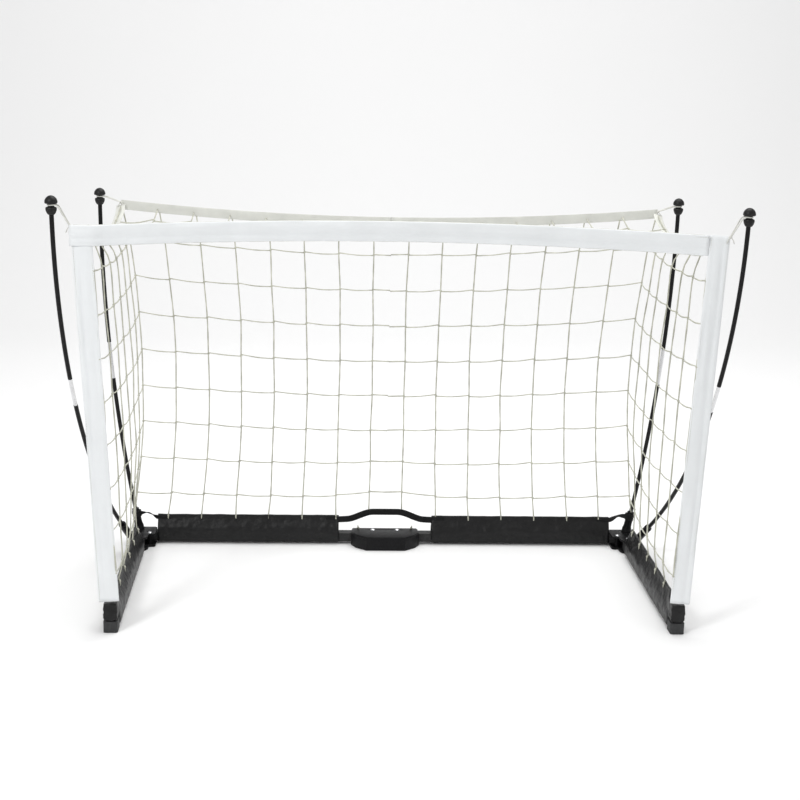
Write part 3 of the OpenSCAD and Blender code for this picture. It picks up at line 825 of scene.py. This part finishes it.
def make_straps(side_name, side):
    """Half the carry strap, and the base strap from the rear sleeve's end to a loop round the socket."""
    strap = Shape()
    points = [Vector((side * x, -2.5 * MM - 2.5 * MM * smooth((x - 0.11) / 0.03), strap_z(x)))
              for x in (0, 0.02, 0.04, 0.055, 0.07, 0.085, 0.10, 0.12, 0.14, 0.165)]
    flat_strap(strap, points, STRAP_W, STRAP_THICK)
    carry = strap.piece(f"carry_strap_web_{side_name}", webbing, "webbing")
    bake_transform(carry)
    if side > 0:
        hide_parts("carry_strap")

    tie = Shape()
    ring_x, ring_z = socket_hi.x - 12.5 * MM, socket_hi.z - 12 * MM
    route = [(0.598, -5 * MM, 66 * MM), (0.622, -5 * MM, 70 * MM), (0.636, -4 * MM, 73 * MM),
             (0.658, -3 * MM, 84 * MM), (ring_x - 11 * MM, -8 * MM, ring_z - 1 * MM),
             (ring_x + 2 * MM, -12 * MM, ring_z)]
    flat_strap(tie, [Vector((side * x, y, z)) for x, y, z in route], 13 * MM, 2.4 * MM,
               turn=lambda t: 1.5 * math.sin(math.pi * smooth((t - 0.25) / 0.7)))
    ring_r, ring_step, steps = 11.6 * MM, 9 * MM, 24
    lean = math.sin(math.radians(10.4))
    for turn in (0, 1):
        ring = []
        for k in range(steps + 1):
            a = 2 * math.pi * k / steps
            ring.append(Vector((side * (ring_x + ring_r * math.cos(a) - lean * ring_step * turn),
                                ring_r * math.sin(a),
                                ring_z - turn * ring_step - lean * 11 * MM * math.cos(a))))
        tie.sweep(ring, lambda i, t: oval(8.5 * MM, 2.2 * MM, 10, power=0.4), UP)
    base = tie.piece(f"base_strap_web_{side_name}", webbing, "webbing")
    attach(base, f"rear_{side_name}")
    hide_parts(f"base_strap_{side_name}")


# Poles' caps and elastic loops --------------------------------------------------------
CAP_PROFILE = [(5.7, -22), (7.2, -22), (8.6, -20.8), (10.6, -17.6), (12.2, -13.6), (13.1, -9.6),
               (13.1, -7.2), (12.2, -5.4), (9.6, -4.1), (7.2, -3), (6.6, -1), (6.8, 1.4), (9.2, 2.7),
               (13.2, 3.2), (14.6, 4.4), (15, 7), (14.5, 10.4), (12.9, 14.2), (10.2, 17.6), (6.8, 20.2),
               (3, 21.6), (0.4, 22)]         # radius and height from the groove, in millimetres
CAP_TOP = 22 * MM
GROOVE_R = 8.2 * MM


def make_cap(side_name, side, end):
    """A pole's turned rubber cap. Returns the middle of its groove."""
    lo, hi = corners_of(f"{end}_cap_{side_name}")
    groove = Vector(((lo.x + hi.x) / 2, (lo.y + hi.y) / 2, hi.z - CAP_TOP))
    around = [2 * math.pi * k / 40 for k in range(40)]
    shape = Shape()
    shape.rings([[groove + Vector((r * math.cos(a), r * math.sin(a), h)) * MM for a in around]
                 for r, h in CAP_PROFILE])
    cap = shape.piece(f"{end}_cap_moulded_{side_name}", rubber, "cap_rubber")
    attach(cap, f"{end}_pole_{side_name}")
    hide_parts(f"{end}_cap_{side_name}")
    return groove


def make_loop(side_name, end, groove, corner):
    """An elastic cord from the net's corner, round the cap's groove and back."""
    away = groove - corner
    away.z = 0
    away.normalize()
    across = Vector((-away.y, away.x, 0))
    back = [groove + across * (-GROOVE_R) * math.cos(a) + away * (GROOVE_R * math.sin(a)) for a in
            (math.pi * k / 8 for k in range(9))]
    near = groove - away * 15 * MM           # where the cord opens round the cap

    def leg(s):
        return [corner + across * s * 2.2 * MM, corner.lerp(near, 0.5) + across * s * 5 * MM,
                near + across * s * 7 * MM + Vector((0, 0, -1.2 * MM))]

    shape = Shape()
    shape.string(spline([*leg(-1), *back, *reversed(leg(1))], 4 * MM), 1.5 * MM, sides=8, pitch=9 * MM)
    shape.knot(corner, 4.2 * MM)
    for s in (-1, 1):
        shape.tail(corner, (s * 5, -4, -5), (s * 9, -5, -15), radius=1.2 * MM, step=4 * MM)
    loop = shape.piece(f"{end}_loop_cord_{side_name}", elastic_cord, "elastic")
    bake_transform(loop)
    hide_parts(f"{end}_loop_{side_name}")


def make_hub_ties():
    """Two string ends tied down at the hub's back edge."""
    shape = Shape()
    for side in (-1, 1):
        at = Vector((side * 74 * MM, 13 * MM, cover_hi.z + 1.8 * MM))
        shape.knot(at, 3.2 * MM)
        shape.tail(at, (side * 1, -3, 3), (side * 2, -4, 8), step=4 * MM)
        shape.tail(at, (side * 3, 5, -1), (side * 4, 6.5, -9), step=4 * MM)
    ties = shape.piece("hub_string_ties", string_white, "net_string")
    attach(ties, "centre_hub")


# Mouldings and the finishes of the carried-over parts -----------------------------------
def rounded(node, name, material, body, width):
    """A moulded stand-in for a node: the same solid with its edges rounded off."""
    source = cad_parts[node]
    mesh = source.data.copy()
    mesh.transform(source.matrix_world)
    work = bmesh.new()
    work.from_mesh(mesh)
    bmesh.ops.remove_doubles(work, verts=work.verts, dist=0.01 * MM)
    bmesh.ops.dissolve_limit(work, angle_limit=math.radians(1.5), verts=work.verts, edges=work.edges)
    sharp = [e for e in work.edges
             if len(e.link_faces) == 2 and e.calc_face_angle(0) > math.radians(35)]
    bmesh.ops.bevel(work, geom=sharp, offset=width, segments=2, profile=0.6, affect="EDGES",
                    clamp_overlap=True)
    bmesh.ops.triangulate(work, faces=work.faces)
    work.to_mesh(mesh)
    work.free()
    mesh.materials.clear()
    mesh.materials.append(material)
    for polygon in mesh.polygons:
        polygon.material_index = 0
    mesh.shade_smooth()
    mesh.set_sharp_from_angle(angle=math.radians(42))
    obj = add_object(name, mesh)
    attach(obj, body)
    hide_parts(node)


FINISHES = {"hub_bolts": zinc, "hub_nuts": nut_metal, "corner_bolts": zinc, "rear_bar": powder,
            "side_bar": powder, "rear_socket": moulded, "front_socket": moulded,
            "front_pole_lower": fibreglass, "front_pole_upper": fibreglass, "front_ferrule": steel,
            "rear_pole_lower": fibreglass, "rear_pole_upper": fibreglass, "rear_ferrule": steel}


def finish_cad_nodes():
    for name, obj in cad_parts.items():
        made = FINISHES.get(name.removesuffix("_left").removesuffix("_right"))
        if made is None:
            continue
        for place in obj.material_slots:
            place.material = made


# Everything together ------------------------------------------------------------------
set_camera()
set_studio()
make_floor()
finish_cad_nodes()
for node, width in (("hub_cover", 1.2), ("hub_base", 1.6)):
    rounded(node, f"{node}_moulding", moulded, "centre_hub", width * MM)
for side_name in SIDES:
    rounded(f"foot_cap_{side_name}", f"foot_moulding_{side_name}", foot_rubber,
            f"leg_{side_name}", 4 * MM)
    for node in ("corner_cover", "corner_base"):
        rounded(f"{node}_{side_name}", f"{node}_moulding_{side_name}", moulded,
                f"rear_{side_name}", 1.2 * MM)
make_hub_ties()
tops = [make_roof(), *make_crossbar()]
for side_name, side in SIDES.items():
    rear_grid = make_rear_net(side_name, side)
    make_side_net(side_name, side, rear_grid)
    make_post(side_name, side)
    make_bands(side_name, side)
    make_sleeves(side_name, side)
    make_straps(side_name, side)
    front_groove = make_cap(side_name, side, "front")
    rear_groove = make_cap(side_name, side, "rear")
    make_loop(side_name, "front", front_groove,
              Vector((side * (post_hi.x - 1 * MM), post_hi.y - 3 * MM, post_hi.z - 3 * MM)))
    make_loop(side_name, "rear", rear_groove, Vector((side * band_x, 0, band_z - 7 * MM)))
for top in tops:
    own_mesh(top)
